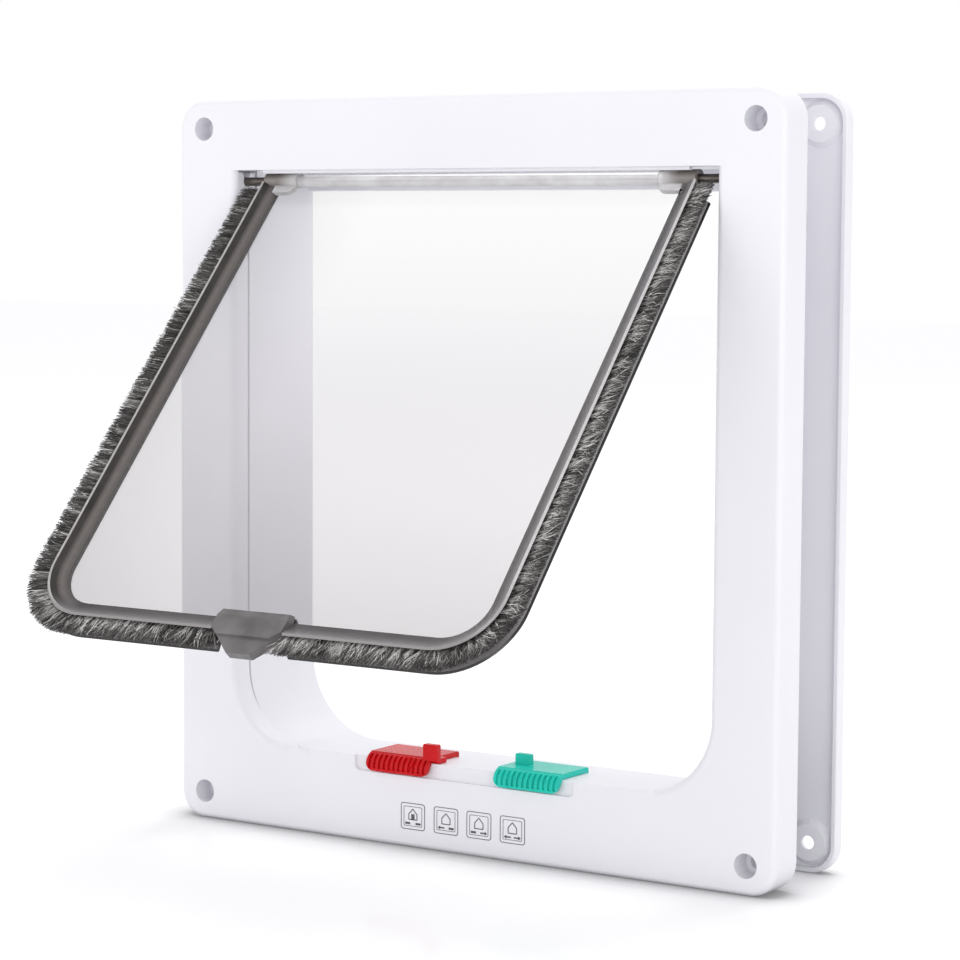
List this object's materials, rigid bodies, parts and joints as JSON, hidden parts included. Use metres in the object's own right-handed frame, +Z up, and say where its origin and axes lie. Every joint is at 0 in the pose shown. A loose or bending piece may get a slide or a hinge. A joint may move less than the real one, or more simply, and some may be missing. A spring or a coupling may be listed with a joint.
{
  "type": "cat flap",
  "caption": "Lockable cat flap for a door: white front and rear frames with a telescoping tunnel, a clear top-hung flap edged with pile, and sliding locks on the sill.",
  "frame": {"origin": "centre of the four fixing holes, in the plane where the front frame meets the door", "axes": "+X across the door to the right as seen from the room, +Y from the room to the outside, +Z up"},
  "size_m": [0.235, 0.1672, 0.25],
  "materials": {
    "white_plastic": "satin injection moulded",
    "clear_plastic": "clear injection moulded",
    "smoked_plastic": "smoked translucent",
    "pile": "woven pile",
    "steel": "drawn wire",
    "magnet": "sintered ferrite",
    "red_plastic": "moulded",
    "teal_plastic": "moulded"
  },
  "bodies": {
    "frame": {"front_frame": "white_plastic", "rear_frame": "white_plastic", "sill_rail": "white_plastic", "sill_magnet": "magnet", "hinge_bush_left": "white_plastic", "hinge_bush_right": "white_plastic"},
    "flap": {"flap_panel": "clear_plastic", "hinge_pin_left": "steel", "hinge_pin_right": "steel", "pile_strip_left": "pile", "pile_strip_right": "pile", "magnet_holder": "smoked_plastic", "flap_magnet": "magnet"},
    "lock_red": {"slider_red": "red_plastic"},
    "lock_teal": {"slider_teal": "teal_plastic"}
  },
  "joints": [
    {"name": "flap_hinge", "type": "hinge", "parent": "frame", "child": "flap", "pos_m": [0, -0.0071, 0.0974], "axis": [1, 0, 0], "range_deg": [-43.35, 106.65]},
    {"name": "red_lock_slide", "type": "slide", "parent": "frame", "child": "lock_red", "axis": [1, 0, 0], "range_m": [-0.0042, 0.008]},
    {"name": "teal_lock_slide", "type": "slide", "parent": "frame", "child": "lock_teal", "axis": [1, 0, 0], "range_m": [-0.012, 0.004]}
  ]
}
